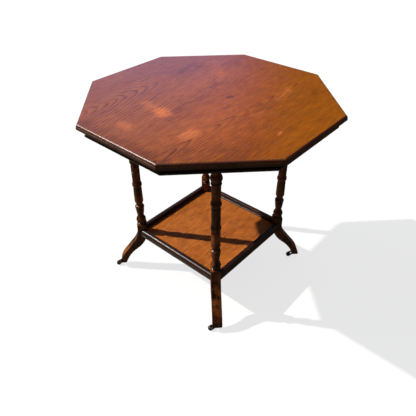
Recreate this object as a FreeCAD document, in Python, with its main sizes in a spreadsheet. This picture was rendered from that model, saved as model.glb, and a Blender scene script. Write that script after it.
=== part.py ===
# Octagonal occasional table on four turned legs, with an undertier and plate casters.
#
# Frame: the origin is on the floor under the centre of the top, +Z is up, and the front is -Y.
# Two sides of the octagon face -X and +X. The legs stand on the X and Y axes, so the square
# undertier between them lies diagonally. Lengths are in millimetres and angles in degrees.

import FreeCAD, Part
import math
import os
import types

import Sketcher

V = FreeCAD.Vector
UP = V(0, 0, 1)

doc = FreeCAD.newDocument("OctagonalTable")


# ---------------------------------------------------------------- driving dimensions

DIMENSIONS = (
    # name, value, what it is
    ("table_height", 722, "floor to the face of the top"),
    ("top_flats", 796, "across the flats of the top"),
    ("top_thick", 17, "thickness of the top"),
    ("edge_step", 1.5, "set-back of the thumb moulding over the square edge"),
    ("edge_square", 8.5, "height of the square lower part of the edge"),
    ("thumb_round", 7, "radius of the thumb moulding"),
    ("edge_ease", 1.6, "rounding of the lower arris of the edge"),
    ("joint_left", 25, "glue joint, from the centre towards the back left"),
    ("joint_right", -205, "glue joint, from the centre towards the front right"),
    ("frieze_flats", 754, "across the flats of the frieze"),
    ("frieze_deep", 30, "height of the frieze"),
    ("frieze_wall", 22, "thickness of a frieze rail"),
    ("frieze_bead", 11, "width of the bead along the frieze's lower edge"),
    ("frieze_bead_set", 1.5, "set-back of the bead's springing behind the frieze's face"),
    ("frieze_bead_swell", 4.2, "how far the bead swells out from its springing"),
    ("frieze_quirk", 2.4, "width of the quirk over the bead"),
    ("frieze_quirk_deep", 3.4, "depth of the quirk over the bead"),
    ("glue_block_leg", 34, "side of a glue block along a frieze rail"),
    ("glue_block_deep", 24, "height of a glue block"),
    ("bearer_long", 610, "length of a bearer"),
    ("bearer_wide", 58, "width of a bearer"),
    ("bearer_deep", 28, "depth of a bearer"),
    ("leg_out", 265, "table axis to the axis of a leg"),
    ("block_side", 35, "side of the square block and width of the foot"),
    ("block_top", 216, "floor to the top of the square block"),
    ("block_ease", 1.2, "rounding of the long arrises of block and foot"),
    ("foot_sole", 24, "floor to the sole of the wooden foot"),
    ("sole_long", 24, "length of the sole along the foot"),
    ("caster_out", 354, "table axis to the swivel axis of a caster"),
    ("rail_thick", 18, "thickness of an undertier rail"),
    ("rail_low", 163, "floor to the underside of an undertier rail"),
    ("rail_deep", 29, "height of an undertier rail"),
    ("rail_round", 8, "radius of the rounded top outer arris of a rail"),
    ("rail_ease", 1.5, "radius of the rounded top inner arris of a rail"),
    ("rail_quirk", 1.5, "width of the quirk between the two beads of a rail"),
    ("rail_quirk_deep", 2.6, "depth of a rail's quirks behind its face"),
    ("rail_low_bead", 5, "width of the lower bead of a rail"),
    ("rail_bead", 6, "width of the upper bead of a rail"),
    ("rail_bead_swell", 1.4, "how far a rail's bead swells out to its face"),
    ("rail_over_quirk", 2, "width of the quirk over the upper bead"),
    ("shelf_top", 174, "floor to the face of the undertier board"),
    ("shelf_thick", 8, "thickness of the undertier board"),
    ("shelf_tongue", 6, "depth of the groove that holds the board"),
    ("shelf_bead", 5, "side of the bead round the board"),
    ("shelf_bead_round", 4.5, "radius of the rounded arris of the bead"),
    ("dowel_wide", 6, "diameter of a rail dowel"),
    ("dowel_long", 28, "length of a rail dowel"),
    ("dowel_height", 182, "floor to the axis of a rail dowel"),
    ("screw_shank", 4.2, "shank of a bearer screw"),
    ("screw_head", 8.4, "head of a bearer screw"),
    ("screw_long", 38, "length of a bearer screw"),
    ("screw_near", 90, "table axis to the inner bearer screws"),
    ("screw_far", 200, "table axis to the outer bearer screws"),
    ("plate_radial", 24, "caster plate along the foot"),
    ("plate_across", 32, "caster plate across the foot"),
    ("plate_thick", 2.2, "thickness of the caster plate"),
    ("plate_corner", 4, "corner radius of the caster plate"),
    ("tack_shank", 2.4, "shank of a caster screw"),
    ("tack_head", 4.8, "head of a caster screw"),
    ("tack_long", 12, "length of a caster screw"),
    ("tack_radial", 8, "caster screws from the swivel axis, along the foot"),
    ("tack_across", 11.5, "caster screws from the swivel axis, across the foot"),
    ("swivel_gap", 0.3, "gap between the plate, the horn and the pin's head"),
    ("swivel_wide", 6, "diameter of the swivel pin"),
    ("swivel_head", 9, "diameter of the swivel pin's head"),
    ("swivel_head_thick", 1.6, "thickness of the swivel pin's head"),
    ("swivel_dome", 1, "rounding of the edge of the swivel pin's head"),
    ("running", 0.05, "radial clearance of a pin in its bore"),
    ("crown_wide", 20, "diameter of the horn's crown"),
    ("crown_thick", 3, "thickness of the horn's crown"),
    ("trail", 24, "swivel axis to wheel axle"),
    ("wheel_wide", 18, "diameter of the wheel"),
    ("wheel_thick", 10.6, "width of the wheel"),
    ("wheel_side", 0.8, "side clearance of the wheel in the fork"),
    ("wheel_dish", 0.8, "depth of the dished sides of the wheel"),
    ("wheel_hub", 1.8, "width of the wheel's hub round its bore"),
    ("wheel_dish_slope", 0.5, "width of the slope between hub or rim and dish"),
    ("wheel_rim", 0.8, "width of the flat of the wheel's rim"),
    ("wheel_shoulder", 1.6, "size of the rounded corner between rim and tread"),
    ("wheel_crown", 0.5, "how far the tread swells in its middle"),
    ("cheek_thick", 2.2, "thickness of a fork cheek"),
    ("cheek_boss", 5.4, "radius of a cheek round the axle"),
    ("fork_root", 4, "how far the cheeks' root runs in under the crown's edge"),
    ("fork_gap", 1, "gap between the crown's edge and the slot for the wheel"),
    ("fork_shoulder", 2, "length of the fork's flat shoulder past the slot's end"),
    ("axle_wide", 3.2, "diameter of the axle"),
    ("axle_head", 5.2, "diameter of the axle's riveted ends"),
    ("axle_head_flat", 3.1, "diameter of the flat of the axle's riveted ends"),
    ("axle_head_thick", 1, "thickness of the axle's riveted ends"),
)

# The turned spindle, from the pin in the block to the pin in the bearer: station, height above
# the floor, radius, and how far the arc to the next station swells outwards (0 is a straight run,
# and a negative swell is a hollow).
TURNING = (
    ("low_pin_end", 186, 9, 0),
    ("low_pin_root", 216, 9, 0),
    ("base_under", 216, 14.6, 0.6),
    ("base_over", 219.5, 14.6, 0),
    ("bulb_foot", 221, 12.5, 1.2),
    ("bulb_belly", 233, 18.3, 1.9),
    ("bulb_crown", 250.5, 12.4, -0.5),
    ("neck_low", 254, 12, 0),
    ("neck_high", 259, 12, -0.4),
    ("cone_foot", 264, 13.2, 0),
    ("cone_top", 288, 16, 0),
    ("low_ring_under", 290, 14.8, 2.3),
    ("low_ring_over", 303, 14.8, 0),
    ("notch_low", 305, 11.6, 0),
    ("notch_high", 311, 11.6, 0),
    ("column_chamfer", 321, 15.7, 0),
    ("column_foot", 326, 16.3, 0),
    ("column_top", 380, 15.4, 0),
    ("undercut_low", 382, 14.2, 0),
    ("undercut_high", 386, 14.2, 0),
    ("mid_ring_under", 387.5, 14.8, 3),
    ("mid_ring_over", 408, 14.8, 0),
    ("barrel_foot", 411, 14.8, 0),
    ("line_one_low", 454.8, 15.2, -0.7),
    ("line_one_high", 457.2, 15.2, 0),
    ("barrel_top", 476, 15.2, 0),
    ("groove_low", 478, 13.9, 0),
    ("groove_high", 482.5, 13.9, 0),
    ("high_ring_under", 484, 14.8, 3.2),
    ("high_ring_over", 503, 14.8, 0),
    ("line_two_low", 505.8, 14.6, -0.7),
    ("line_two_high", 508.2, 14.6, 0),
    ("line_three_low", 537.8, 14.8, -0.7),
    ("line_three_high", 540.2, 14.8, 0),
    ("shaft_top", 561.5, 15, 0),
    ("collar_under", 563.5, 15, 2.4),
    ("collar_over", 572.5, 15, 0),
    ("capital_under", 575, 14.6, 4.5),
    ("capital_over", 600, 14.6, 0),
    ("upper_shaft_foot", 603, 13.8, 0),
    ("upper_shaft_top", 638, 14.4, 0),
    ("upper_ring_under", 640, 14.4, 2.6),
    ("upper_ring_over", 650, 14.4, 0),
    ("flare_foot", 653, 12.6, -3.2),
    ("flare_top", 671, 20, 0),
    ("cap_under", 671, 21.5, 0.6),
    ("cap_over", 677, 21.5, 0),
    ("high_pin_root", 677, 8, 0),
    ("high_pin_end", 699, 8, 0),
)

# The sabre foot from the leg's axis outwards, down the front and back up the hollow side:
# distance out, height above the floor, and the swell of the arc to the next point, to the left
# of the way there.
FOOT_FRONT = (
    ("bend_start", 17.5, 194, -5.7),
    ("bend_end", 39.74, 127.3, 0),
    ("knee_start", 80.96, 72.32, 3.29),
)
FOOT_BACK = (
    ("arch_start", 27.49, 96.79, 0),
    ("arch_end", 23.19, 100.35, 6.91),
)
CALF_SWELL = -6.24
THIGH_START = 168.9

# How far a round swells out from the chord of its quarter turn, in parts of its radius.
QUARTER_SWELL = 1 - math.sqrt(0.5)
# How far the flat-domed head of an axle swells out from its chord, in millimetres.
AXLE_HEAD_SWELL = 0.25


class Size(float):
    """A number that keeps the sheet expression it is worked out with."""

    def __new__(cls, value, text):
        size = super().__new__(cls, value)
        size.text = text
        return size

    def __add__(self, other):
        return Size(float(self) + float(other), f"({self.text} + {text_of(other)})")

    def __radd__(self, other):
        return Size(float(other) + float(self), f"({text_of(other)} + {self.text})")

    def __sub__(self, other):
        return Size(float(self) - float(other), f"({self.text} - {text_of(other)})")

    def __rsub__(self, other):
        return Size(float(other) - float(self), f"({text_of(other)} - {self.text})")

    def __mul__(self, other):
        return Size(float(self) * float(other), f"({self.text} * {text_of(other)})")

    __rmul__ = __mul__

    def __truediv__(self, other):
        return Size(float(self) / float(other), f"({self.text} / {text_of(other)})")

    def __neg__(self):
        return Size(-float(self), f"(0 - {self.text})")

    def __abs__(self):
        return Size(abs(float(self)), f"abs({self.text})")


def text_of(number):
    return number.text if isinstance(number, Size) else repr(float(number))


SQRT2 = Size(math.sqrt(2), "sqrt(2)")
TAN_MITRE = Size(math.tan(math.pi / 8), "(sqrt(2) - 1)")
COS_MITRE = Size(math.cos(math.pi / 8), "cos(22.5)")
SIN_MITRE = Size(math.sin(math.pi / 8), "sin(22.5)")
COS_CHEEK = Size(math.cos(math.pi / 6), "cos(30)")
SIN_CHEEK = Size(0.5, "sin(30)")
CHEEK_SWELL = Size(1 - math.cos(math.radians(75)), "(1 - cos(75))")

sheet = doc.addObject("Spreadsheet::Sheet", "Dimensions")
sheet_rows = 0


def cell(name, value, note):
    """Puts one dimension in the sheet, and returns it as a Size."""
    global sheet_rows
    sheet_rows += 1
    sheet.set(f"A{sheet_rows}", name)
    sheet.set(f"B{sheet_rows}", str(value))
    sheet.set(f"C{sheet_rows}", note)
    sheet.setAlias(f"B{sheet_rows}", name)
    return Size(value, f"Dimensions.{name}")


D = types.SimpleNamespace()
for dimension_name, dimension_value, dimension_note in DIMENSIONS:
    setattr(D, dimension_name, cell(dimension_name, dimension_value, dimension_note))

turning = [
    (
        cell(f"{station}_radius", radius, "spindle radius"),
        cell(f"{station}_height", height, "spindle height"),
        swell,
    )
    for station, height, radius, swell in TURNING
]


def profile_cells(stations):
    """Puts stations of the foot's outline in the sheet."""
    return [
        (
            cell(f"{station}_out", out, "foot outline, outwards from the leg's axis"),
            cell(f"{station}_height", height, "foot outline, height"),
            swell,
        )
        for station, out, height, swell in stations
    ]


foot_front = profile_cells(FOOT_FRONT)
foot_back = profile_cells(FOOT_BACK)
thigh_start = cell("thigh_start", THIGH_START, "foot outline, height where the back leaves the block")

# Worked-out sizes that several pieces share.
top_low = D.table_height - D.top_thick
frieze_low = top_low - D.frieze_deep
bearer_low = top_low - D.bearer_deep
sole_middle = D.caster_out - D.leg_out
rail_top = D.rail_low + D.rail_deep
rail_inner = D.leg_out / SQRT2
rail_middle = rail_inner + D.rail_thick / 2
rail_half = (D.leg_out - D.block_side) / SQRT2
plate_low = D.foot_sole - D.plate_thick
crown_top = plate_low - D.swivel_gap
crown_low = crown_top - D.crown_thick
wheel_radius = D.wheel_wide / 2
fork_half = D.wheel_thick / 2 + D.wheel_side
cheek_out = fork_half + D.cheek_thick
LEG_SIDES = (("front", -90), ("right", 0), ("back", 90), ("left", 180))
RAIL_SIDES = (("back_right", 45), ("back_left", 135), ("front_left", 225), ("front_right", 315))
FRIEZE_SIDES = (
    ("right", 0),
    ("back_right", 45),
    ("back", 90),
    ("back_left", 135),
    ("left", 180),
    ("front_left", 225),
    ("front", 270),
    ("front_right", 315),
)


# ---------------------------------------------------------------- modelling helpers

def bind(item, prop, size):
    """Sets a property, through the sheet when its size comes from there."""
    if isinstance(size, Size):
        item.setExpression(prop, size.text)
    else:
        setattr(item, prop, size)


def new_body(label, placement=None):
    body = doc.addObject("PartDesign::Body", "Body")
    body.Label = label
    if placement is not None:
        body.Placement = placement
    return body


def new_sketch(body, plane, lift=None):
    """An empty sketch on one of the body's own origin planes, lifted along its normal."""
    sketch = body.newObject("Sketcher::SketchObject", "Sketch")
    face = next(item for item in body.Origin.OriginFeatures if item.Role == plane)
    sketch.AttachmentSupport = [(face, "")]
    sketch.MapMode = "FlatFace"
    if lift is not None:
        bind(sketch, "AttachmentOffset.Base.z", lift)
    return sketch


def outline(sketch, points):
    """Draws a closed outline, fully tied down. A point is (across, up), or (across, up, swell)
    where an arc runs to the next point and stands that far off the chord, to the left."""
    ends = []
    for place, point in enumerate(points):
        following = points[(place + 1) % len(points)]
        start = V(point[0], point[1], 0)
        end = V(following[0], following[1], 0)
        swell = point[2] if len(point) > 2 else 0
        if not swell:
            ends.append((sketch.addGeometry(Part.LineSegment(start, end), False), 1, 2))
            continue
        left = V(start.y - end.y, end.x - start.x, 0).normalize()
        middle = (start + end) / 2 + left * swell
        if swell < 0:
            ends.append((sketch.addGeometry(Part.Arc(start, middle, end), False), 1, 2))
        else:
            ends.append((sketch.addGeometry(Part.Arc(end, middle, start), False), 2, 1))
        step_x = following[0] - point[0]
        step_y = following[1] - point[1]
        square = step_x * step_x + step_y * step_y
        radius = (square / 4 + swell * swell) / (2 * abs(swell))
        tie(sketch, ("Radius", ends[-1][0]), radius)
    for place, (geometry, first, last) in enumerate(ends):
        after, after_first, after_last = ends[(place + 1) % len(ends)]
        sketch.addConstraint(Sketcher.Constraint("Coincident", geometry, last, after, after_first))
        tie(sketch, ("DistanceX", -1, 1, geometry, first), points[place][0])
        tie(sketch, ("DistanceY", -1, 1, geometry, first), points[place][1])


def rectangle(sketch, half, low, high):
    """Draws a rectangle that reaches as far to the left as to the right."""
    outline(sketch, [(-half, low), (half, low), (half, high), (-half, high)])


def tie(sketch, kind, size):
    """Adds one dimension to a sketch, bound to the sheet when its size comes from there."""
    number = sketch.addConstraint(Sketcher.Constraint(*kind, float(size)))
    if isinstance(size, Size):
        sketch.setExpression(f"Constraints[{number}]", size.text)


def circle(sketch, across, up, diameter):
    """Draws a dimensioned circle."""
    ring = sketch.addGeometry(Part.Circle(V(across, up, 0), V(0, 0, 1), float(diameter) / 2), False)
    tie(sketch, ("DistanceX", -1, 1, ring, 3), across)
    tie(sketch, ("DistanceY", -1, 1, ring, 3), up)
    tie(sketch, ("Diameter", ring), diameter)


def pad(body, sketch, length, symmetric=False):
    feature = body.newObject("PartDesign::Pad", "Pad")
    feature.Profile = sketch
    feature.SideType = "Symmetric" if symmetric else "One side"
    bind(feature, "Length", length)
    doc.recompute()
    return feature


def cut(body, sketch, length=None, symmetric=False, reverse=False):
    """Pockets a sketch, right through when no length is given, and makes sure that it cuts."""
    before = body.Shape.Volume
    feature = body.newObject("PartDesign::Pocket", "Pocket")
    feature.Profile = sketch
    feature.SideType = "Symmetric" if symmetric else "One side"
    feature.Reversed = reverse
    if length is None:
        feature.Type = "ThroughAll"
    else:
        bind(feature, "Length", length)
    doc.recompute()
    if body.Shape.Volume > before - 1e-6:
        raise RuntimeError(f"a pocket of {body.Label} cuts nothing")
    return feature


def turn(body, sketch):
    """Revolves a sketch of the XZ plane once round the body's Z axis."""
    feature = body.newObject("PartDesign::Revolution", "Revolution")
    feature.Profile = sketch
    feature.ReferenceAxis = (sketch, ["V_Axis"])
    feature.Angle = 360
    doc.recompute()
    return feature


def ease(body, radius, wanted):
    """Rounds every edge of the body that wanted(edge) picks."""
    base = body.Tip
    picked = [
        f"Edge{number}"
        for number, edge in enumerate(base.Shape.Edges, start=1)
        if wanted(edge)
    ]
    feature = body.newObject("PartDesign::Fillet", "Fillet")
    feature.Base = (base, picked)
    bind(feature, "Radius", radius)
    doc.recompute()
    return feature


def turned_about(degrees, out=0, height=0):
    """The placement that turns about the table's axis, after moving outwards and up."""
    turn_z = FreeCAD.Rotation(UP, degrees)
    return FreeCAD.Placement(turn_z.multVec(V(out, 0, height)), turn_z)


def gather(label, items):
    """One node that holds several separate solids."""
    group = doc.addObject("Part::Compound", "Group")
    group.Label = label
    group.Links = items
    return group


def remove(label, base, tool):
    """The base with the tool's shape cut out of it."""
    result = doc.addObject("Part::Cut", "Cut")
    result.Label = label
    result.Base = base
    result.Tool = tool
    return result


def near(first, second):
    return abs(first - second) < 1e-3


def octagon(apothem):
    """The corners of an octagon with sides that face the axes."""
    half = apothem * TAN_MITRE
    return [
        (apothem, half),
        (half, apothem),
        (-half, apothem),
        (-apothem, half),
        (-apothem, -half),
        (-half, -apothem),
        (half, -apothem),
        (apothem, -half),
    ]


nodes = []


# ---------------------------------------------------------------- fasteners

def wood_screw(label, placement, shank, head, length):
    """A countersunk wood screw that points up: its head's face is at the body's origin."""
    body = new_body(label, placement)
    sketch = new_sketch(body, "XZ_Plane")
    slope = (head - shank) / 2
    outline(
        sketch,
        [
            (0, 0),
            (head / 2, 0),
            (shank / 2, slope),
            (shank / 2, length - shank),
            (0, length),
        ],
    )
    turn(body, sketch)
    return body


def make_bearer_screws():
    """Eight screws up through the bearers into the top."""
    screws = []
    for side, degrees in LEG_SIDES:
        for name, reach in (("near", D.screw_near), ("far", D.screw_far)):
            label = f"bearer_screw_{side}_{name}"
            placement = turned_about(degrees, float(reach), float(bearer_low))
            screws.append(wood_screw(label, placement, D.screw_shank, D.screw_head, D.screw_long))
    return gather("bearer_screws", screws)


def make_caster_screws():
    """Four screws up through each caster plate into the sole of the foot."""
    screws = []
    corners = ((1, 1), (1, -1), (-1, 1), (-1, -1))
    for side, degrees in LEG_SIDES:
        turn_z = FreeCAD.Rotation(UP, degrees)
        for number, (along, across) in enumerate(corners, start=1):
            label = f"caster_screw_{side}_{number}"
            spot = V(D.caster_out + along * D.tack_radial, across * D.tack_across, plate_low)
            placement = FreeCAD.Placement(turn_z.multVec(spot), turn_z)
            screws.append(wood_screw(label, placement, D.tack_shank, D.tack_head, D.tack_long))
    return gather("caster_screws", screws)


def rail_placement(degrees):
    """Where a rail's middle line runs: its X axis lies along the rail, its Y axis outwards."""
    turn_z = FreeCAD.Rotation(UP, degrees)
    spot = turn_z.multVec(V(rail_middle, 0, 0))
    return FreeCAD.Placement(spot, FreeCAD.Rotation(UP, degrees - 90))


def make_rail_dowels():
    """A dowel at each end of each undertier rail, along the rail and into the leg's block."""
    dowels = []
    joint = float(rail_half + D.rail_thick / 2)
    for side, degrees in RAIL_SIDES:
        for end in (-1, 1):
            dowel = doc.addObject("Part::Cylinder", "Dowel")
            dowel.Label = f"rail_dowel_{side}_{'start' if end < 0 else 'end'}"
            dowel.setExpression("Radius", (D.dowel_wide / 2).text)
            dowel.setExpression("Height", D.dowel_long.text)
            along = end * joint - float(D.dowel_long) / 2
            turn_z = FreeCAD.Rotation(UP, degrees)
            spot = turn_z.multVec(V(rail_middle, along, D.dowel_height))
            dowel.Placement = FreeCAD.Placement(spot, turn_z.multiply(FreeCAD.Rotation(V(1, 0, 0), -90)))
            dowels.append(dowel)
    return gather("rail_dowels", dowels)


# ---------------------------------------------------------------- the top

def make_top_boards(screws):
    """The moulded octagonal top, cut into the three boards that it is jointed from."""
    blank = new_body("top_blank", FreeCAD.Placement(V(0, 0, top_low), FreeCAD.Rotation()))
    lower = new_sketch(blank, "XY_Plane")
    outline(lower, octagon(D.top_flats / 2))
    pad(blank, lower, D.edge_square)
    ease(blank, D.edge_ease, lambda edge: near(edge.BoundBox.ZMax, 0))
    upper = new_sketch(blank, "XY_Plane")
    outline(upper, octagon(D.top_flats / 2 - D.edge_step))
    pad(blank, upper, D.top_thick)
    ease(blank, D.thumb_round, lambda edge: near(edge.BoundBox.ZMin, float(D.top_thick)))

    drilled = remove("top_drilled", blank, screws)
    half = float(D.top_flats)
    bands = (
        ("top_board_back", D.joint_left, D.top_flats / 2),
        ("top_board_middle", D.joint_right, D.joint_left),
        ("top_board_front", -(D.top_flats / 2), D.joint_right),
    )
    grain = FreeCAD.Rotation(UP, 45)
    slab_low = UP * (top_low - D.top_thick / 2)
    for label, start, end in bands:
        slab = doc.addObject("Part::Box", "Slab")
        slab.Label = f"{label}_slab"
        slab.setExpression("Length", (D.top_flats * 2).text)
        slab.setExpression("Width", (end - start).text)
        slab.setExpression("Height", (D.top_thick * 2).text)
        slab.Placement = FreeCAD.Placement(grain.multVec(V(-half, start, 0)) + slab_low, grain)
        board = doc.addObject("Part::Common", "Common")
        board.Label = label
        board.Base = drilled
        board.Tool = slab
        nodes.append(board)


def make_frieze_rail(side, degrees):
    """One moulded rail of the octagonal frieze, mitred at both ends."""
    body = new_body(f"frieze_{side}", turned_about(degrees - 90, height=float(frieze_low)))
    outer = D.frieze_flats / 2
    inner = outer - D.frieze_wall
    springing = outer - D.frieze_bead_set
    quirk_top = D.frieze_bead + D.frieze_quirk
    quirk_in = outer - D.frieze_quirk_deep
    section = new_sketch(body, "YZ_Plane")
    outline(
        section,
        [
            (inner, 0),
            (springing, 0, -D.frieze_bead_swell),
            (springing, D.frieze_bead),
            (quirk_in, D.frieze_bead),
            (quirk_in, quirk_top),
            (outer, quirk_top),
            (outer, D.frieze_deep),
            (inner, D.frieze_deep),
        ],
    )
    pad(body, section, D.frieze_flats, symmetric=True)
    for end in (-1, 1):
        waste = new_sketch(body, "XY_Plane")
        mitre_start = inner / 2
        mitre_end = outer * 2
        corners = [
            (end * mitre_start * TAN_MITRE, mitre_start),
            (end * mitre_end * TAN_MITRE, mitre_end),
            (end * mitre_end, mitre_end),
            (end * mitre_end, mitre_start),
        ]
        outline(waste, corners)
        cut(body, waste, symmetric=True)
    nodes.append(body)


def make_glue_blocks():
    """Triangular glue blocks inside the frieze's corners, under the top."""
    blocks = []
    corner = (D.frieze_flats / 2 - D.frieze_wall) / COS_MITRE
    back = corner - D.glue_block_leg * SIN_MITRE
    side = D.glue_block_leg * COS_MITRE
    block_low = float(top_low - D.glue_block_deep)
    for number in range(8):
        body = new_body(f"glue_block_{number + 1}", turned_about(22.5 + 45 * number, height=block_low))
        sketch = new_sketch(body, "XY_Plane")
        outline(sketch, [(corner, 0), (back, side), (back, -side)])
        pad(body, sketch, D.glue_block_deep)
        blocks.append(body)
    nodes.append(gather("glue_blocks", blocks))


def make_bearer(label, degrees, notch_on_top, screws):
    """One of the two crossed bearers: notched half through, and bored for the leg pins."""
    body = new_body(f"{label}_blank", turned_about(degrees, height=float(bearer_low)))
    half_wide = D.bearer_wide / 2
    half_deep = D.bearer_deep / 2
    plan = new_sketch(body, "XY_Plane")
    rectangle(plan, D.bearer_long / 2, -half_wide, half_wide)
    pad(body, plan, D.bearer_deep)
    notch = new_sketch(body, "XZ_Plane")
    if notch_on_top:
        rectangle(notch, half_wide, half_deep, D.bearer_deep)
    else:
        rectangle(notch, half_wide, 0, half_deep)
    cut(body, notch, symmetric=True)
    bores = new_sketch(body, "XY_Plane")
    pin_radius, pin_end, _ = turning[-1]
    for end in (-1, 1):
        circle(bores, end * D.leg_out, 0, pin_radius * 2)
    cut(body, bores, pin_end - bearer_low, reverse=True)
    nodes.append(remove(label, body, screws))


# ---------------------------------------------------------------- legs

def make_spindle(side, degrees):
    """The turned part of a leg, with its pins, from the block to the bearer."""
    body = new_body(f"leg_spindle_{side}", turned_about(degrees, float(D.leg_out)))
    sketch = new_sketch(body, "XZ_Plane")
    first = turning[0][1]
    last = turning[-1][1]
    going_up = [(radius, height, -swell) for radius, height, swell in turning]
    outline(sketch, [(0, first)] + going_up + [(0, last)])
    turn(body, sketch)
    nodes.append(body)


def make_foot(side, degrees, tools):
    """The square block and the sabre foot below it, bored for the spindle and the fasteners."""
    body = new_body(f"foot_blank_{side}", turned_about(degrees, float(D.leg_out)))
    sketch = new_sketch(body, "XZ_Plane")
    half = D.block_side / 2
    outline(
        sketch,
        [(-half, D.block_top), (half, D.block_top)]
        + foot_front
        + [
            (sole_middle + D.sole_long / 2, D.foot_sole),
            (sole_middle - D.sole_long / 2, D.foot_sole, CALF_SWELL),
        ]
        + foot_back
        + [(-half, thigh_start)],
    )
    pad(body, sketch, D.block_side, symmetric=True)

    def long_arris(edge):
        box = edge.BoundBox
        flat = box.YLength < 1e-6 and near(abs(box.YMin), float(half))
        ends = near(box.ZMin, box.ZMax)
        return flat and not ends

    ease(body, D.block_ease, long_arris)
    bore = new_sketch(body, "XY_Plane", D.block_top)
    pin_radius, pin_end, _ = turning[0]
    circle(bore, 0, 0, pin_radius * 2)
    cut(body, bore, D.block_top - pin_end)
    nodes.append(remove(f"leg_foot_{side}", body, tools))


# ---------------------------------------------------------------- undertier

def make_rail(side, degrees, dowels):
    """A moulded rim rail: rounded over at the top, two beads below, mitred against the blocks."""
    body = new_body(f"rail_blank_{side}", rail_placement(degrees))
    half = D.rail_thick / 2
    low_bead_top = D.rail_low + D.rail_low_bead
    bead_low = low_bead_top + D.rail_quirk
    bead_top = bead_low + D.rail_bead
    face_low = bead_top + D.rail_over_quirk
    quirk_in = half - D.rail_quirk_deep
    springing = half - D.rail_bead_swell
    groove_in = -half + D.shelf_tongue
    groove_low = D.shelf_top - D.shelf_thick
    section = new_sketch(body, "YZ_Plane")
    outline(
        section,
        [
            (-half, D.rail_low),
            (springing, D.rail_low, -D.rail_bead_swell),
            (springing, low_bead_top),
            (quirk_in, low_bead_top),
            (quirk_in, bead_low),
            (springing, bead_low, -D.rail_bead_swell),
            (springing, bead_top),
            (quirk_in, bead_top),
            (quirk_in, face_low),
            (half, face_low),
            (half, rail_top - D.rail_round, -D.rail_round * QUARTER_SWELL),
            (half - D.rail_round, rail_top),
            (-half + D.rail_ease, rail_top, -D.rail_ease * QUARTER_SWELL),
            (-half, rail_top - D.rail_ease),
            (-half, D.shelf_top),
            (groove_in, D.shelf_top),
            (groove_in, groove_low),
            (-half, groove_low),
        ],
    )
    pad(body, section, (rail_half + D.rail_thick * 2) * 2, symmetric=True)
    for end in (-1, 1):
        waste = new_sketch(body, "XY_Plane")
        inside = end * (rail_half - half)
        outside = end * (rail_half + D.rail_thick * 3)
        far_side = half + D.rail_thick * 2
        outline(waste, [(inside, -D.rail_thick), (outside, far_side), (outside, -D.rail_thick)])
        cut(body, waste, reverse=True)
    nodes.append(remove(f"undertier_rail_{side}", body, dowels))


def make_shelf():
    """The undertier board: a square held in the rails' grooves, clipped at the blocks."""
    groove_low = float(D.shelf_top - D.shelf_thick)
    body = new_body("undertier_board", turned_about(0, height=groove_low))
    reach = (rail_inner + D.shelf_tongue) * SQRT2
    face = D.leg_out - D.block_side / 2
    step = reach - face
    sketch = new_sketch(body, "XY_Plane")
    outline(
        sketch,
        [
            (face, -step),
            (face, step),
            (step, face),
            (-step, face),
            (-face, step),
            (-face, -step),
            (-step, -face),
            (step, -face),
        ],
    )
    pad(body, sketch, D.shelf_thick)
    nodes.append(body)


def make_bead(side, degrees):
    """The quadrant bead that covers the joint between the board and a rail."""
    body = new_body(f"undertier_bead_{side}", turned_about(degrees - 90, height=float(D.shelf_top)))
    inner = rail_inner - D.shelf_bead
    block_line = (D.leg_out - D.block_side / 2) * SQRT2
    sketch = new_sketch(body, "XY_Plane")
    outline(
        sketch,
        [
            (inner - block_line, inner),
            (block_line - inner, inner),
            (block_line - rail_inner, rail_inner),
            (rail_inner - block_line, rail_inner),
        ],
    )
    pad(body, sketch, D.shelf_bead)

    def inner_arris(edge):
        box = edge.BoundBox
        return near(box.ZMin, float(D.shelf_bead)) and near(box.YMax, float(inner))

    ease(body, D.shelf_bead_round, inner_arris)
    nodes.append(body)


# ---------------------------------------------------------------- casters

def make_caster_plate(side, degrees, screws):
    """The plate under the sole, bored for the swivel pin."""
    body = new_body(f"plate_blank_{side}", turned_about(degrees, float(D.caster_out), float(plate_low)))
    half_across = D.plate_across / 2
    sketch = new_sketch(body, "XY_Plane")
    rectangle(sketch, D.plate_radial / 2, -half_across, half_across)
    pad(body, sketch, D.plate_thick)
    ease(body, D.plate_corner, lambda edge: near(edge.BoundBox.ZLength, float(D.plate_thick)))
    bore = new_sketch(body, "XY_Plane")
    circle(bore, 0, 0, D.swivel_wide)
    cut(body, bore, reverse=True)
    nodes.append(remove(f"caster_plate_{side}", body, screws))


def make_swivel_pin(side, degrees):
    """The riveted pin that the horn turns on: flush with the plate's face, headed below."""
    body = new_body(f"swivel_pin_{side}", turned_about(degrees, float(D.caster_out)))
    head_top = crown_low - D.swivel_gap
    head_low = head_top - D.swivel_head_thick
    sketch = new_sketch(body, "XZ_Plane")
    outline(
        sketch,
        [
            (0, head_low),
            (D.swivel_head / 2 - D.swivel_dome, head_low, -D.swivel_dome * QUARTER_SWELL),
            (D.swivel_head / 2, head_low + D.swivel_dome),
            (D.swivel_head / 2, head_top),
            (D.swivel_wide / 2, head_top),
            (D.swivel_wide / 2, D.foot_sole),
            (0, D.foot_sole),
        ],
    )
    turn(body, sketch)
    nodes.append(body)


def caster_placement(degrees):
    """Each horn is modelled trailing towards -X, whichever way its leg faces."""
    turn_z = FreeCAD.Rotation(UP, degrees)
    return FreeCAD.Placement(turn_z.multVec(V(D.caster_out, 0, 0)), FreeCAD.Rotation())


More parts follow.
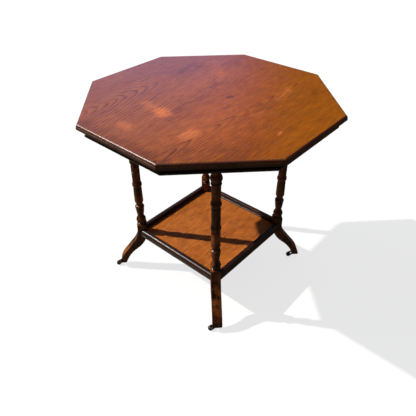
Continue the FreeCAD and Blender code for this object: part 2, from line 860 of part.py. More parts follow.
def make_horn(side, degrees):
    """The horn: a round crown on the swivel pin, and a fork with two cheeks for the wheel."""
    body = new_body(f"caster_horn_{side}", caster_placement(degrees))
    crown_radius = D.crown_wide / 2
    slot_end = -(crown_radius + D.fork_gap)
    root = -(crown_radius - D.fork_root)
    steep = D.cheek_boss * COS_CHEEK
    shallow = D.cheek_boss * SIN_CHEEK
    profile = new_sketch(body, "XZ_Plane")
    outline(
        profile,
        [
            (root, crown_low),
            (root, crown_top),
            (slot_end - D.fork_shoulder, crown_top),
            (-D.trail - steep, wheel_radius + shallow, -D.cheek_boss * CHEEK_SWELL),
            (-D.trail + shallow, wheel_radius - steep),
        ],
    )
    pad(body, profile, cheek_out * 2, symmetric=True)
    slot = new_sketch(body, "XY_Plane")
    outline(
        slot,
        [
            (slot_end, -fork_half),
            (slot_end, fork_half),
            (-D.trail * 2, fork_half),
            (-D.trail * 2, -fork_half),
        ],
    )
    cut(body, slot, reverse=True)
    crown = new_sketch(body, "XY_Plane", crown_low)
    circle(crown, 0, 0, D.crown_wide)
    pad(body, crown, D.crown_thick)
    swivel_bore = new_sketch(body, "XY_Plane")
    circle(swivel_bore, 0, 0, D.swivel_wide + D.running * 2)
    cut(body, swivel_bore, reverse=True)
    axle_bore = new_sketch(body, "XZ_Plane")
    circle(axle_bore, -D.trail, wheel_radius, D.axle_wide)
    cut(body, axle_bore, symmetric=True)
    nodes.append(body)


def lying_placement(degrees):
    """A caster's axle line: the body's Z axis lies along Y at the wheel's centre."""
    base = caster_placement(degrees).Base + V(-D.trail, 0, wheel_radius)
    return FreeCAD.Placement(base, FreeCAD.Rotation(V(1, 0, 0), -90))


def make_axle(side, degrees):
    """The axle, riveted over outside both cheeks."""
    body = new_body(f"caster_axle_{side}", lying_placement(degrees))
    radius = D.axle_wide / 2
    head = D.axle_head / 2
    flat = D.axle_head_flat / 2
    end = cheek_out + D.axle_head_thick
    sketch = new_sketch(body, "XZ_Plane")
    outline(
        sketch,
        [
            (0, -end),
            (flat, -end, -AXLE_HEAD_SWELL),
            (head, -cheek_out),
            (radius, -cheek_out),
            (radius, cheek_out),
            (head, cheek_out, -AXLE_HEAD_SWELL),
            (flat, end),
            (0, end),
        ],
    )
    turn(body, sketch)
    nodes.append(body)


def make_wheel(side, degrees):
    """The wheel: a crowned tread, dished sides and a plain bore."""
    body = new_body(f"caster_wheel_{side}", lying_placement(degrees))
    half = D.wheel_thick / 2
    dished = half - D.wheel_dish
    bore = D.axle_wide / 2 + D.running
    hub = bore + D.wheel_hub
    tread = wheel_radius - D.wheel_crown
    rim = tread - D.wheel_shoulder
    rim_inner = rim - D.wheel_rim
    corner = half - D.wheel_shoulder
    corner_swell = -D.wheel_shoulder * QUARTER_SWELL
    sketch = new_sketch(body, "XZ_Plane")
    outline(
        sketch,
        [
            (bore, -half),
            (hub, -half),
            (hub + D.wheel_dish_slope, -dished),
            (rim_inner - D.wheel_dish_slope, -dished),
            (rim_inner, -half),
            (rim, -half, corner_swell),
            (tread, -corner, -D.wheel_crown),
            (tread, corner, corner_swell),
            (rim, half),
            (rim_inner, half),
            (rim_inner - D.wheel_dish_slope, dished),
            (hub + D.wheel_dish_slope, dished),
            (hub, half),
            (bore, half),
        ],
    )
    turn(body, sketch)
    nodes.append(body)


# ---------------------------------------------------------------- assembly

def build():
    bearer_screws = make_bearer_screws()
    caster_screws = make_caster_screws()
    rail_dowels = make_rail_dowels()
    foot_fasteners = gather("foot_fasteners", [rail_dowels, caster_screws])
    nodes.extend((bearer_screws, caster_screws, rail_dowels))

    make_top_boards(bearer_screws)
    for side, degrees in FRIEZE_SIDES:
        make_frieze_rail(side, degrees)
    make_glue_blocks()
    make_bearer("bearer_cross", 0, True, bearer_screws)
    make_bearer("bearer_long", 90, False, bearer_screws)

    for side, degrees in LEG_SIDES:
        make_spindle(side, degrees)
        make_foot(side, degrees, foot_fasteners)
    for side, degrees in RAIL_SIDES:
        make_rail(side, degrees, rail_dowels)
        make_bead(side, degrees)
    make_shelf()

    for side, degrees in LEG_SIDES:
        make_caster_plate(side, degrees, caster_screws)
        make_swivel_pin(side, degrees)
        make_horn(side, degrees)
        make_axle(side, degrees)
        make_wheel(side, degrees)


def check():
    """Stops on any failed object, and on a sub-part whose shape is missing or broken."""
    doc.recompute()
    for item in doc.Objects:
        if "Invalid" in item.State or "Error" in item.State:
            raise RuntimeError(f"{item.Label} failed: {item.State}")
    labels = [node.Label for node in nodes]
    if len(set(labels)) != len(labels):
        raise RuntimeError("two sub-parts share a label")
    for node in nodes:
        if node.Shape.isNull() or not node.Shape.isValid() or not node.Shape.Solids:
            raise RuntimeError(f"{node.Label} has no sound shape")


def export():
    os.makedirs("parts", exist_ok=True)
    for node in nodes:
        node.Shape.exportStep(os.path.join("parts", f"{node.Label}.step"))
        print(f"{node.Label}: {len(node.Shape.Solids)} solid(s), {node.Shape.Volume / 1000:.2f} cm3")


build()
check()
export()
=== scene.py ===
# The looks of the octagonal two-tier table: finishes, floor, light and camera round the CAD frame.
# Lengths are in metres in the table's own frame: origin on the floor, +Z up, front towards -Y.

import math

import bpy
from mathutils import Matrix, Vector


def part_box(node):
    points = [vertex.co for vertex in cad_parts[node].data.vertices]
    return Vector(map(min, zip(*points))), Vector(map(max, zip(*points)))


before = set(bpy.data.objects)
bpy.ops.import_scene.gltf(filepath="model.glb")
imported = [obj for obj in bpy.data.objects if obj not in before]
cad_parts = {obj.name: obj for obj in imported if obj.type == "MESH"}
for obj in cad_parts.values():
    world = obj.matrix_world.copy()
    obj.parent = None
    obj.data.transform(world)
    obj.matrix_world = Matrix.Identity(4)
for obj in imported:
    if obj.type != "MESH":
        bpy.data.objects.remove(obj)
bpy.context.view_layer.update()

# ---------------------------------------------------------------- driving values

MM = 0.001

# The camera: its angles in degrees, its lens and sensor in millimetres.
CAMERA_PLACE = (-0.0929, -1.3283, 1.3003)
CAMERA_YAW = 3.66
CAMERA_PITCH = 37.67
CAMERA_ROLL = 0.30
CAMERA_LENS = 38.1
CAMERA_SENSOR = 36

# The key light: its azimuth is 0 over the front and grows towards the right, in degrees.
KEY_AZIMUTH = -104
KEY_ELEVATION = 41
KEY_STRENGTH = 4.5
KEY_SPREAD = 0.9
KEY_COLOUR = (1.0, 0.97, 0.92)

# The world: the glow of each part of the studio. The screen's right edge lies so many degrees to
# the right of straight back. The side glow lies round the key, within its reach in degrees, and its
# rim fades between these steps from the cosine of that.
OVERHEAD_GLOW = 0.55
SCREEN_GLOW = (0.13, 0.64, 1.90)
SCREEN_EDGE = 12
SIDE_GLOW = (1.2, 1.5, 2.0)
SIDE_REACH = 16
SIDE_RIM = (-0.04, 0.06)
STUDIO_GLOW = (0.016, 0.017, 0.020)
RIGHT_GLOW = (0.085, 0.082, 0.080)
GROUND_GLOW = (0.21, 0.145, 0.095)
SHADOWED_GROUND = 0.4

# Where those parts begin and where they are full, as parts of a direction of length 1: to the right
# (x), to the back (y), upwards (z), or to the right of the screen's edge.
OVERHEAD_Z = (0.62, 0.98)
SCREEN_PAST_EDGE = (0.04, -0.14)
SCREEN_X = (-0.50, -0.22)
SCREEN_Y = (0.05, 0.5)
SCREEN_TOP_Z = (0.49, 0.20)
SCREEN_FOOT_Z = (0.0, 0.16)
RIGHT_X = (0.35, 0.75)
GROUND_Z = (-0.02, -0.20)
LIT_GROUND_X = (0.5, -0.5)

# The staged floor and backdrop.
STUDIO_REACH = 30
BACKDROP_SIDES = 48
FLOOR_GLOW = 0.74
BACKDROP_GLOW = 0.95
WHITE = (1, 1, 1, 1)

# The grain of the top and of the undertier board, in degrees from +X.
GRAIN_TURN = 45

# The top turns from red-brown to gold-brown from left to right: partly the wood's own tone under
# the polish, and on the left partly a painted reflection of a blue sheen.
LEFT_WOOD_AND_SHEEN = (0.450, 0.135, 0.036)
MIDDLE_WOOD = (0.555, 0.136, 0.010)
FRONT_WOOD = (0.480, 0.112, 0.002)
RIGHT_WOOD = (0.420, 0.118, 0.002)
LEFT_LINES_AND_SHEEN = (0.115, 0.028, 0.010)
RIGHT_LINES = (0.110, 0.024, 0.002)

# Each pair is a wood's light colour and its dark one.
WORN_WOOD = (0.740, 0.205, 0.045), (0.46, 0.115, 0.022)
EDGE_WOOD = (0.095, 0.036, 0.016), (0.032, 0.011, 0.006)
UNDERSIDE_WOOD = (0.25, 0.11, 0.05), (0.12, 0.05, 0.022)
UNDERTIER_WOOD = (0.60, 0.172, 0.026), (0.15, 0.034, 0.005)
LEG_WOOD = (0.320, 0.088, 0.020), (0.016, 0.005, 0.003)
FRIEZE_WOOD = (0.070, 0.024, 0.010), (0.022, 0.008, 0.004)
RAIL_WOOD = (0.058, 0.018, 0.007), (0.009, 0.004, 0.003)
CARCASE_WOOD = (0.22, 0.10, 0.05), (0.10, 0.045, 0.02)
DOWEL_WOOD = (0.45, 0.28, 0.14), (0.3, 0.17, 0.08)

# Each pair is an iron's coat and the metal that shows where it has rubbed off.
SCREW_STEEL = (0.16, 0.15, 0.14), (0.3, 0.29, 0.27)
CASTER_IRON = (0.020, 0.016, 0.014), (0.16, 0.13, 0.10)
WHEEL_IRON = (0.026, 0.022, 0.020), (0.12, 0.10, 0.08)

# Pores, the painted shade on the top's arris, grime and painted shade in hollows, the raw underside
# of the undertier board, and rust.
PORES = (0.060, 0.017, 0.006)
UNDERTIER_PORES = (0.070, 0.020, 0.008)
DARK_PORES = (0.012, 0.005, 0.003)
ARRIS_PAINTED_SHADE = (0.070, 0.012, 0.006)
HOLLOW_DIRT_AND_SHADE = (0.008, 0.004, 0.003)
RAW_UNDERTIER = (0.14, 0.06, 0.03)
RUST = (0.045, 0.022, 0.013)

# Where in a growth ring, from 0 to 1, it has which darkness.
RING_SHADES = ((0.0, 0.35), (0.10, 0.0), (0.50, 0.12), (0.78, 0.60), (0.90, 1.0), (1.0, 0.40))

# How far under a board's face its arris, its dull edge and the raw wood of its underside begin and
# are full. The top's raw wood is given over its underside instead.
ARRIS_DEPTH = (0.05 * MM, 1.2 * MM)
EDGE_DEPTH = (5 * MM, 8 * MM)
RAW_HEIGHT = (1.2 * MM, 0.2 * MM)
RAW_UNDERTIER_DEPTH = (8 * MM, 9.5 * MM)

# How wide the hollows are whose darkening is partly grime and partly painted shade, and how open a
# place is where that darkening begins and is full.
HOLLOW_REACH = 11 * MM
HOLLOW_OPENNESS = (0.985, 0.76)

# Where the polish has worn pale, and where the wood is darker: start, end, reach and strength.
WORN_PATCHES = (
    ((-0.158, -0.090), (-0.144, -0.116), 0.034, 1.0),
    ((-0.208, -0.034), (-0.180, -0.060), 0.026, 0.45),
    ((-0.080, -0.256), (-0.064, -0.240), 0.030, 0.75),
    ((-0.262, -0.170), (-0.246, -0.196), 0.026, 0.45),
    ((0.024, 0.305), (0.052, 0.190), 0.036, 0.20),
    ((0.264, 0.038), (0.212, -0.040), 0.014, 0.35),
    ((0.174, -0.262), (0.178, -0.256), 0.009, 0.60),
    ((0.120, -0.142), (0.150, -0.130), 0.018, 0.25),
)
DARK_MARKS = (
    ((0.058, -0.010), (0.068, -0.004), 0.011, 0.50),
    ((-0.120, -0.105), (0.029, 0.100), 0.040, 0.12),
    ((0.029, 0.100), (0.120, 0.132), 0.040, 0.10),
    ((-0.090, 0.225), (-0.030, 0.280), 0.040, 0.12),
    ((-0.390, -0.165), (-0.165, -0.390), 0.050, 0.22),
    ((-0.165, -0.370), (0.060, -0.370), 0.120, 0.20),
    ((-0.100, 0.320), (0.180, 0.320), 0.220, 0.07),
)

# The corners at the ends of the axes, where the legs stand.
LEG_SIDES = ("front", "right", "back", "left")

TOP_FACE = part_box("top_board_middle")[1].z
TOP_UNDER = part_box("top_board_middle")[0].z
SHELF_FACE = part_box("undertier_board")[1].z


# ---------------------------------------------------------------- node helpers

# A Mix node's colour sockets come after its sockets for numbers and vectors.
MIX_FIRST, MIX_SECOND, MIX_COLOUR = 6, 7, 2


class Nodes:
    """A node tree whose nodes are joined by plain values."""

    def __init__(self, tree, coordinates):
        self.nodes = tree.nodes
        self.links = tree.links
        self.place = self.nodes.new("ShaderNodeTexCoord").outputs[coordinates]

    def set(self, socket, value):
        """Gives a socket a number, a colour or another node's output."""
        if isinstance(value, bpy.types.NodeSocket):
            self.links.new(value, socket)
        elif isinstance(value, (tuple, list)) and len(socket.default_value) == 4:
            socket.default_value = (*value, 1)
        else:
            socket.default_value = value

    def math(self, operation, *values):
        node = self.nodes.new("ShaderNodeMath")
        node.operation = operation
        for socket, value in zip(node.inputs, values):
            self.set(socket, value)
        return node.outputs[0]

    def add(self, first, second):
        return self.math("ADD", first, second)

    def times(self, first, second):
        return self.math("MULTIPLY", first, second)

    def minus(self, first, second):
        return self.math("SUBTRACT", first, second)

    def smooth(self, value, start, end, low=0.0, high=1.0):
        """Rises smoothly from low to high while the value goes from start to end."""
        node = self.nodes.new("ShaderNodeMapRange")
        node.interpolation_type = "SMOOTHSTEP"
        for name, number in (
            ("Value", value),
            ("From Min", start),
            ("From Max", end),
            ("To Min", low),
            ("To Max", high),
        ):
            self.set(node.inputs[name], number)
        return node.outputs[0]

    def split(self, vector):
        node = self.nodes.new("ShaderNodeSeparateXYZ")
        self.set(node.inputs[0], vector)
        return node.outputs[0], node.outputs[1], node.outputs[2]

    def join(self, x, y, z):
        node = self.nodes.new("ShaderNodeCombineXYZ")
        for socket, value in zip(node.inputs, (x, y, z)):
            self.set(socket, value)
        return node.outputs[0]

    def turned(self, degrees):
        """The place in axes turned about +Z by so many degrees: X along the grain, Y across it."""
        node = self.nodes.new("ShaderNodeMapping")
        self.set(node.inputs["Vector"], self.place)
        node.inputs["Rotation"].default_value = (0, 0, -math.radians(degrees))
        return node.outputs[0]

    def noise(self, vector, scale=1.0, detail=2.0, rough=0.5, seed=0.0):
        """Noise from about -0.5 to 0.5, which changes with the seed."""
        node = self.nodes.new("ShaderNodeTexNoise")
        node.noise_dimensions = "4D"
        self.set(node.inputs["Vector"], vector)
        node.inputs["W"].default_value = seed
        node.inputs["Scale"].default_value = scale
        node.inputs["Detail"].default_value = detail
        node.inputs["Roughness"].default_value = rough
        return self.minus(node.outputs[0], 0.5)

    def ramp(self, value, *stops):
        """A ramp through (position, colour) stops. A colour may be a number, for a grey."""
        node = self.nodes.new("ShaderNodeValToRGB")
        elements = node.color_ramp.elements
        while len(elements) < len(stops):
            elements.new(0.5)
        for element, (position, colour) in zip(elements, stops):
            element.position = position
            grey = isinstance(colour, (int, float))
            element.color = (colour, colour, colour, 1) if grey else (*colour, 1)
        self.set(node.inputs[0], value)
        return node.outputs[0]

    def mix(self, share, first, second, blend="MIX"):
        """A colour between two, or one laid over the other."""
        node = self.nodes.new("ShaderNodeMix")
        node.data_type = "RGBA"
        node.blend_type = blend
        self.set(node.inputs[0], share)
        self.set(node.inputs[MIX_FIRST], first)
        self.set(node.inputs[MIX_SECOND], second)
        return node.outputs[MIX_COLOUR]

    def stroke(self, x, y, start, end, reach, ragged=0.0):
        """1 along a line from start to end and up to a fifth of its reach from it, falling to 0 at
        its reach, with a ragged edge where that is given."""
        line_x, line_y = end[0] - start[0], end[1] - start[1]
        square = line_x * line_x + line_y * line_y
        from_x = self.minus(x, start[0])
        from_y = self.minus(y, start[1])
        along = self.add(self.times(from_x, line_x / square), self.times(from_y, line_y / square))
        along = self.math("MINIMUM", self.math("MAXIMUM", along, 0.0), 1.0)
        from_x = self.minus(from_x, self.times(along, line_x))
        from_y = self.minus(from_y, self.times(along, line_y))
        squares = self.add(self.times(from_x, from_x), self.times(from_y, from_y))
        distance = self.math("SQRT", squares)
        return self.smooth(self.add(distance, ragged), reach, reach / 5)


class Finish(Nodes):
    """One procedural material, in the table's own frame."""

    def __init__(self, name):
        self.material = bpy.data.materials.new(name)
        self.material.use_nodes = True
        super().__init__(self.material.node_tree, "Object")
        self.shader = self.nodes["Principled BSDF"]

    def finish(self, colour, roughness, height=None, relief=0.0, **constants):
        """Wires the shader. The relief is how far the height lifts the surface. The constants are
        set on the sockets that they name."""
        self.set(self.shader.inputs["Base Color"], colour)
        self.set(self.shader.inputs["Roughness"], roughness)
        if height is not None:
            bump = self.nodes.new("ShaderNodeBump")
            bump.inputs["Distance"].default_value = relief
            self.set(bump.inputs["Height"], height)
            self.set(self.shader.inputs["Normal"], bump.outputs[0])
        for name, value in constants.items():
            socket = name.replace("_", " ").title().replace("Ior", "IOR")
            self.shader.inputs[socket].default_value = value
        return self.material


# ---------------------------------------------------------------- wood

def rings(f, along, across, heart, taper, depth, spacing):
    """Growth-ring number where a board's face cuts the tree's rings: nested arches that point
    along the grain, steeper to the grain where the taper is larger."""
    side = f.minus(across, heart)
    radius = f.math("SQRT", f.add(f.times(side, side), depth * depth))
    return f.times(f.add(radius, f.times(along, taper)), 1 / spacing)


def ring_lines(f, number):
    """How dark a ring is: it deepens slowly, then ends in a thin dark line."""
    return f.ramp(f.math("FRACT", number), *RING_SHADES)


def streaks(f, grain, length, width, seed, detail=2.0):
    """Noise drawn out along the grain, from about -0.5 to 0.5."""
    x, y, z = f.split(grain)
    stretched = f.join(f.times(x, 1 / length), f.times(y, 1 / width), f.times(z, 1 / width))
    return f.noise(stretched, 1.0, detail, 0.6, seed)


def pores(f, grain, length, width, seed):
    """Short dark pore marks along the grain."""
    return f.smooth(streaks(f, grain, length, width, seed, 1.5), 0.06, 0.18)


def top_finish(name, seed, figure):
    """The polished top: one board of it, with its own figure."""
    f = Finish(name)
    grain = f.turned(GRAIN_TURN)
    along, across, _ = f.split(grain)
    x, y, z = f.split(f.place)

    # Growth rings, which waver and fade in places.
    sway = f.noise(grain, 4.0, 2.0, 0.5, seed)
    ripple = streaks(f, grain, 0.060, 0.022, seed + 3, 3.0)
    swayed = f.add(along, f.times(sway, 0.08)), f.add(across, f.times(sway, 0.030))
    number, clear = figure(f, *swayed)
    uneven = f.noise(f.join(number, 0.0, 0.0), 0.45, 2.0, 0.6, seed + 5)
    lines = ring_lines(f, f.add(f.add(number, f.times(uneven, 1.4)), f.times(ripple, 0.45)))
    patchy = f.smooth(f.noise(grain, 7.0, 2.0, 0.55, seed + 7), -0.20, 0.12, 0.30, 1.0)
    lines = f.times(f.minus(lines, 0.35), f.times(patchy, clear))

    # How dark the wood is: the rings, broad and fine streaks, a mottle, a curl and the dark marks.
    ribbon = streaks(f, grain, 0.40, 0.050, seed + 9, 3.0)
    thread = streaks(f, grain, 0.055, 0.0042, seed + 17)
    fibre = streaks(f, grain, 0.035, 0.0024, seed)
    mottle = f.noise(grain, 14.0, 3.0, 0.6, seed + 11)
    depth = f.add(f.times(lines, 0.60), f.times(ribbon, 0.52))
    depth = f.add(depth, f.add(f.times(thread, 1.10), f.times(fibre, 1.10)))
    curl = f.smooth(streaks(f, grain, 0.045, 0.013, seed + 19, 3.0), -0.10, 0.10, -0.5, 0.5)
    depth = f.add(depth, f.add(f.times(mottle, 0.22), f.times(curl, 0.07)))
    for start, end, reach, strength in DARK_MARKS:
        ragged = f.times(mottle, reach * 0.9)
        depth = f.add(depth, f.times(f.stroke(x, y, start, end, reach, ragged), strength))

    # The colour under the polish, red-brown on the left to gold-brown on the right; the left part
    # is partly a painted reflection of a blue sheen.
    tone_and_painted_sheen = f.smooth(f.minus(x, f.times(y, 0.21)), -0.32, 0.34)
    polish = (0.0, LEFT_WOOD_AND_SHEEN), (0.5, MIDDLE_WOOD), (0.8, FRONT_WOOD), (1.0, RIGHT_WOOD)
    light = f.ramp(tone_and_painted_sheen, *polish)
    dark = f.mix(tone_and_painted_sheen, LEFT_LINES_AND_SHEEN, RIGHT_LINES)
    colour = f.mix(f.smooth(depth, -0.55, 0.75), light, dark)
    marks = pores(f, grain, 0.012, 0.0011, seed + 13)
    colour = f.mix(f.times(marks, 0.45), colour, PORES)

    # Worn patches, frayed along the grain.
    coarse = streaks(f, grain, 0.030, 0.008, 2.0, 3.0)
    fine = streaks(f, grain, 0.009, 0.003, 4.0, 3.0)
    fray = f.times(f.add(coarse, fine), 0.055)
    worn = 0.0
    for start, end, reach, strength in WORN_PATCHES:
        patch = f.times(f.stroke(x, y, start, end, reach, fray), strength)
        worn = f.math("MAXIMUM", worn, patch)
    colour = f.mix(worn, colour, f.mix(f.smooth(depth, -0.4, 0.6), *WORN_WOOD))

    # The arris, darkened with painted shade, the dull edge and the raw underside.
    arris = f.smooth(z, *(TOP_FACE - under for under in ARRIS_DEPTH))
    edge = f.smooth(z, *(TOP_FACE - under for under in EDGE_DEPTH))
    edge_wood = f.mix(f.smooth(f.add(ribbon, mottle), -0.3, 0.3), *EDGE_WOOD)
    colour = f.mix(f.times(arris, 0.85), colour, ARRIS_PAINTED_SHADE)
    colour = f.mix(edge, colour, edge_wood)
    raw = f.smooth(z, *(TOP_UNDER + over for over in RAW_HEIGHT))
    colour = f.mix(raw, colour, f.mix(f.smooth(depth, -0.3, 0.8), *UNDERSIDE_WOOD))

    # The gloss, and the relief of pores and rings, which the rubbed arris lacks.
    rough = f.add(f.add(0.30, f.times(mottle, 0.10)), f.times(worn, 0.12))
    rough = f.add(f.times(rough, f.minus(1.0, arris)), f.times(arris, 0.38))
    rough = f.add(rough, f.times(raw, 0.2))
    height = f.minus(f.times(marks, -0.5), f.times(lines, 0.25))
    height = f.times(height, f.minus(1.0, arris))
    return f.finish(colour, rough, height, 0.00008, specular_ior_level=0.5)


def back_figure(f, along, across):
    """Rounded arches on the left, whose long flanks fan out and fade towards the right."""
    beside = f.smooth(across, 0.150, 0.215)
    clear = f.smooth(f.minus(along, f.times(f.minus(1.0, beside), 0.20)), 0.03, -0.07, 0.20, 1.0)
    return rings(f, along, across, 0.215, 0.27, 0.030, 0.0112), clear


def middle_figure(f, along, across):
    """Long narrow arches up the middle of the board."""
    return rings(f, along, across, -0.151, 0.11, 0.020, 0.0072), 0.8


def front_figure(f, along, across):
    """Nearly straight lines, from the side of the log."""
    return rings(f, along, across, 0.10, 0.05, 0.05, 0.0062), 0.9


def dark_wood(name, seed, grain_turn, colours, rough=0.20, sheen=0.40, relief=0.00004):
    """Stained and polished wood, darker in the hollows. Its grain runs level, turned by so many
    degrees from +X, or upright where the turn is None."""
    f = Finish(name)
    if grain_turn is None:
        x, y, z = f.split(f.place)
        grain = f.join(z, x, y)
    else:
        grain = f.turned(grain_turn)
    band = streaks(f, grain, 1 / 6, 1 / 60, seed, 3.0)
    fibre = streaks(f, grain, 1 / 40, 1 / 700, seed + 1)
    mottle = f.noise(grain, 18.0, 3.0, 0.6, seed + 2)
    depth = f.add(f.add(f.times(band, 1.2), f.times(fibre, 0.7)), f.times(mottle, 1.0))
    colour = f.mix(f.smooth(depth, -0.40, 0.24), *colours)
    marks = pores(f, grain, 0.009, 0.0009, seed + 3)
    colour = f.mix(f.times(marks, 0.4), colour, DARK_PORES)
    # Painted shade in the hollows, with some grime: darker and rougher where little round a point
    # is open.
    hollow = f.nodes.new("ShaderNodeAmbientOcclusion")
    hollow.samples = 8
    hollow.only_local = True
    hollow.inputs["Distance"].default_value = HOLLOW_REACH
    dirt_and_shade = f.smooth(hollow.outputs["AO"], *HOLLOW_OPENNESS, 0.0, 0.95)
    colour = f.mix(dirt_and_shade, colour, HOLLOW_DIRT_AND_SHADE)
    rough = f.add(f.add(rough, f.times(mottle, 0.12)), f.times(dirt_and_shade, 0.15))
    height = f.minus(f.times(fibre, 1.2), marks)
    return f.finish(colour, rough, height, relief, specular_ior_level=sheen)


def undertier_finish():
    """The undertier board: orange-brown, with a broken mottled figure."""
    f = Finish("undertier_wood")
    grain = f.turned(GRAIN_TURN)
    along, across, z = f.split(grain)
    band = f.noise(f.join(f.times(along, 5.0), f.times(across, 42.0), z), 1.0, 4.0, 0.62, 31)
    streak = f.noise(f.join(f.times(along, 30.0), f.times(across, 260.0), z), 1.0, 3.0, 0.65, 32)
    mottle = f.noise(grain, 22.0, 4.0, 0.6, 33)
    cloud = f.noise(grain, 5.0, 2.0, 0.5, 34)
    drawn = f.add(f.times(band, 0.7), f.times(streak, 1.3))
    depth = f.add(drawn, f.add(f.times(mottle, 0.7), f.times(cloud, 0.5)))
    colour = f.mix(f.smooth(depth, -0.45, 0.6), *UNDERTIER_WOOD)
    marks = pores(f, grain, 0.008, 0.0010, 35)
    colour = f.mix(f.times(marks, 0.45), colour, UNDERTIER_PORES)
    raw = f.smooth(z, *(SHELF_FACE - under for under in RAW_UNDERTIER_DEPTH))
    colour = f.mix(f.times(raw, 0.6), colour, RAW_UNDERTIER)
    rough = f.add(f.add(0.42, f.times(mottle, 0.12)), f.times(raw, 0.2))
    return f.finish(colour, rough, f.times(marks, -1.0), 0.00006, specular_ior_level=0.2)


def iron(name, colours, seed, rough):
    """Old iron: rubbed to bare metal on the arrises, with rust in the pits."""
    coat, bare = colours
    f = Finish(name)
    grime = f.noise(f.place, 90.0, 4.0, 0.6, seed)
    fine = f.noise(f.place, 900.0, 3.0, 0.6, seed + 1)
    shade = f.mix(f.smooth(grime, -0.05, 0.25), coat, RUST)
    pointiness = f.nodes.new("ShaderNodeNewGeometry").outputs["Pointiness"]
    rubbed = f.smooth(f.add(pointiness, f.times(grime, 0.06)), 0.53, 0.62)
    shade = f.mix(f.times(rubbed, 0.7), shade, bare)
    rough = f.add(rough, f.times(grime, 0.3))
    return f.finish(shade, rough, f.add(fine, f.times(grime, 2.0)), 0.0001, metallic=0.6)


# ---------------------------------------------------------------- which piece has which finish

def give(node, material):
    """The node's only material."""
    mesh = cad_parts[node].data
    mesh.materials.clear()
    mesh.materials.append(material)


def finish_top():
    give("top_board_back", top_finish("top_wood_back", 1.0, back_figure))
    give("top_board_middle", top_finish("top_wood_middle", 21.0, middle_figure))
    give("top_board_front", top_finish("top_wood_front", 41.0, front_figure))


def finish_stand():
    """The frieze, legs and undertier. Opposite frieze rails share a grain, and so do opposite
    undertier rails."""
    give("undertier_board", undertier_finish())
    first = ("right", "back_right", "back", "back_left")
    opposite = ("left", "front_left", "front", "front_right")
    for place, pair in enumerate(zip(first, opposite)):
        wood = dark_wood(f"frieze_wood_{pair[0]}", 50 + place, 90 + 45 * place, FRIEZE_WOOD)
        for side in pair:
            give(f"frieze_{side}", wood)

    leg = dark_wood("leg_wood", 60, None, LEG_WOOD, relief=0.00014)
    for side in LEG_SIDES:
        give(f"leg_spindle_{side}", leg)
        give(f"leg_foot_{side}", leg)

    for degrees, pair in ((45, ("back_left", "front_right")), (135, ("back_right", "front_left"))):
        rail = dark_wood(
            f"rail_wood_{degrees}",
            70 + degrees,
            degrees,
            RAIL_WOOD,
            rough=0.36,
            sheen=0.50,
            relief=0.000015,
        )
        for side in pair:
            give(f"undertier_rail_{side}", rail)
            give(f"undertier_bead_{side}", rail)


def finish_hidden():
    """The bearers, glue blocks, dowels and screws."""
    carcase = dark_wood("carcase_wood", 80, 0, CARCASE_WOOD, rough=0.6)
    for node in ("bearer_cross", "bearer_long", "glue_blocks"):
        give(node, carcase)
    give("rail_dowels", dark_wood("dowel_wood", 82, 45, DOWEL_WOOD, rough=0.6))
    give("bearer_screws", iron("screw_steel", SCREW_STEEL, 90, 0.4))


def finish_casters():
    japan = iron("caster_iron", CASTER_IRON, 91, 0.28)
    wheel = iron("wheel_iron", WHEEL_IRON, 92, 0.35)
    give("caster_screws", japan)
    for side in LEG_SIDES:
        for piece in ("caster_plate", "swivel_pin", "caster_horn", "caster_axle"):
            give(f"{piece}_{side}", japan)
        give(f"caster_wheel_{side}", wheel)


# ---------------------------------------------------------------- floor, light and camera

def stage_sheet(name, corners, faces, finish):
    """A sheet of the studio. Only the camera sees it: the world stands for the light that it
    throws."""
    mesh = bpy.data.meshes.new(name)
    mesh.from_pydata(corners, [], faces)
    mesh.materials.append(finish)
    sheet = bpy.data.objects.new(name, mesh)
    bpy.context.scene.collection.objects.link(sheet)
    sheet.visible_diffuse = False
    sheet.visible_glossy = False
    sheet.visible_shadow = False


def make_floor():
    f = Finish("floor_paint")
    shade = f.noise(f.place, 3.0, 2.0, 0.5, 7)
    paint = f.mix(f.add(0.5, shade), (0.24, 0.24, 0.24), (0.26, 0.26, 0.255))
    glow = dict(emission_color=WHITE, emission_strength=FLOOR_GLOW)
    f.finish(paint, 0.8, specular_ior_level=0.1, **glow)
    reach = STUDIO_REACH
    corners = [(-reach, -reach, 0), (reach, -reach, 0), (reach, reach, 0), (-reach, reach, 0)]
    stage_sheet("floor", corners, [(0, 1, 2, 3)], f.material)


def make_backdrop():
    """A pale wall all round, and a ceiling as pale."""
    f = Finish("backdrop_paint")
    shade = f.noise(f.place, 0.1, 2.0, 0.5, 8)
    paint = f.mix(f.add(0.5, shade), (0.10, 0.10, 0.10), (0.12, 0.12, 0.12))
    glow = dict(emission_color=WHITE, emission_strength=BACKDROP_GLOW)
    f.finish(paint, 0.9, specular_ior_level=0.0, **glow)
    count = BACKDROP_SIDES
    radius = STUDIO_REACH - 1
    turns = [2 * math.pi * place / count for place in range(count)]
    ring = [(radius * math.cos(turn), radius * math.sin(turn)) for turn in turns]
    rims = [(x, y, z) for z in (-radius, radius) for x, y in ring]
    steps = [(place, (place + 1) % count) for place in range(count)]
    walls = [(this, after, count + after, count + this) for this, after in steps]
    caps = [tuple(range(count)), tuple(range(count, 2 * count))]
    stage_sheet("backdrop", rims, walls + caps, f.material)


def towards_key():
    across, up = math.radians(KEY_AZIMUTH), math.radians(KEY_ELEVATION)
    level = math.cos(up)
    return Vector((math.sin(across) * level, -math.cos(across) * level, math.sin(up)))


def make_key():
    """The main light: a small sun on the left, whose shadows have firm edges."""
    data = bpy.data.lights.new("key", "SUN")
    data.energy = KEY_STRENGTH
    data.angle = math.radians(KEY_SPREAD)
    data.color = KEY_COLOUR
    light = bpy.data.objects.new("key", data)
    bpy.context.scene.collection.objects.link(light)
    light.rotation_euler = towards_key().to_track_quat("Z", "Y").to_euler()


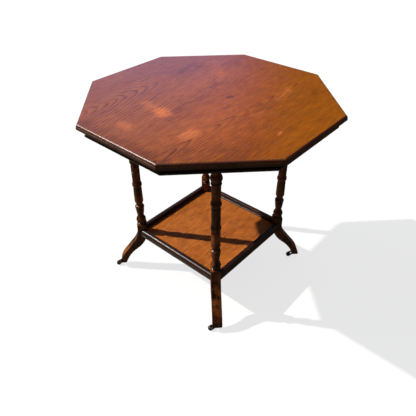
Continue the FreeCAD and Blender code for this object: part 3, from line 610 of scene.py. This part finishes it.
def make_world():
    """A dim studio: a soft light overhead, another round the key, a pale wall on the right, and a
    blue screen behind, a little to the left. Its lower half stands for the light that the floor
    throws back, less of it on the shadowed right, so the floor itself throws none."""
    world = bpy.data.worlds.new("studio")
    world.use_nodes = True
    w = Nodes(world.node_tree, "Generated")
    x, y, z = w.split(w.place)
    overhead = w.smooth(z, *OVERHEAD_Z)
    edge = math.radians(SCREEN_EDGE)
    past_edge = w.minus(w.times(x, math.cos(edge)), w.times(y, math.sin(edge)))
    behind = w.times(w.smooth(x, *SCREEN_X), w.smooth(y, *SCREEN_Y))
    screen = w.times(w.smooth(past_edge, *SCREEN_PAST_EDGE), behind)
    screen = w.times(screen, w.times(w.smooth(z, *SCREEN_TOP_Z), w.smooth(z, *SCREEN_FOOT_Z)))
    shadowed = [SHADOWED_GROUND * part for part in GROUND_GLOW]
    ground = w.mix(w.smooth(x, *LIT_GROUND_X), shadowed, GROUND_GLOW)
    walls = w.mix(w.smooth(x, *RIGHT_X), STUDIO_GLOW, RIGHT_GLOW)
    glow = w.mix(w.smooth(z, *GROUND_Z), walls, ground)
    glow = w.mix(overhead, glow, (OVERHEAD_GLOW,) * 3)
    glow = w.mix(screen, glow, SCREEN_GLOW, "ADD")
    key = towards_key()
    beside = w.add(w.add(w.times(x, key.x), w.times(y, key.y)), w.times(z, key.z))
    rim = math.cos(math.radians(SIDE_REACH))
    around_key = w.smooth(beside, *(rim + step for step in SIDE_RIM))
    glow = w.mix(around_key, glow, SIDE_GLOW, "ADD")
    background = w.nodes["Background"]
    w.set(background.inputs["Color"], glow)
    bpy.context.scene.world = world


def make_camera():
    yaw, pitch, roll = (math.radians(angle) for angle in (CAMERA_YAW, CAMERA_PITCH, CAMERA_ROLL))
    level = math.cos(pitch)
    forward = Vector((math.sin(yaw) * level, math.cos(yaw) * level, -math.sin(pitch)))
    right = forward.cross(Vector((0, 0, 1))).normalized()
    up = right.cross(forward)
    turned = Matrix((right, up, -forward)).transposed() @ Matrix.Rotation(-roll, 3, "Z")
    data = bpy.data.cameras.new("camera")
    data.lens = CAMERA_LENS
    data.sensor_width = CAMERA_SENSOR
    camera = bpy.data.objects.new("camera", data)
    camera.matrix_world = Matrix.Translation(CAMERA_PLACE) @ turned.to_4x4()
    bpy.context.scene.collection.objects.link(camera)
    bpy.context.scene.camera = camera


finish_top()
finish_stand()
finish_hidden()
finish_casters()
make_floor()
make_backdrop()
make_world()
make_key()
make_camera()
bpy.context.scene.view_settings.view_transform = "Standard"
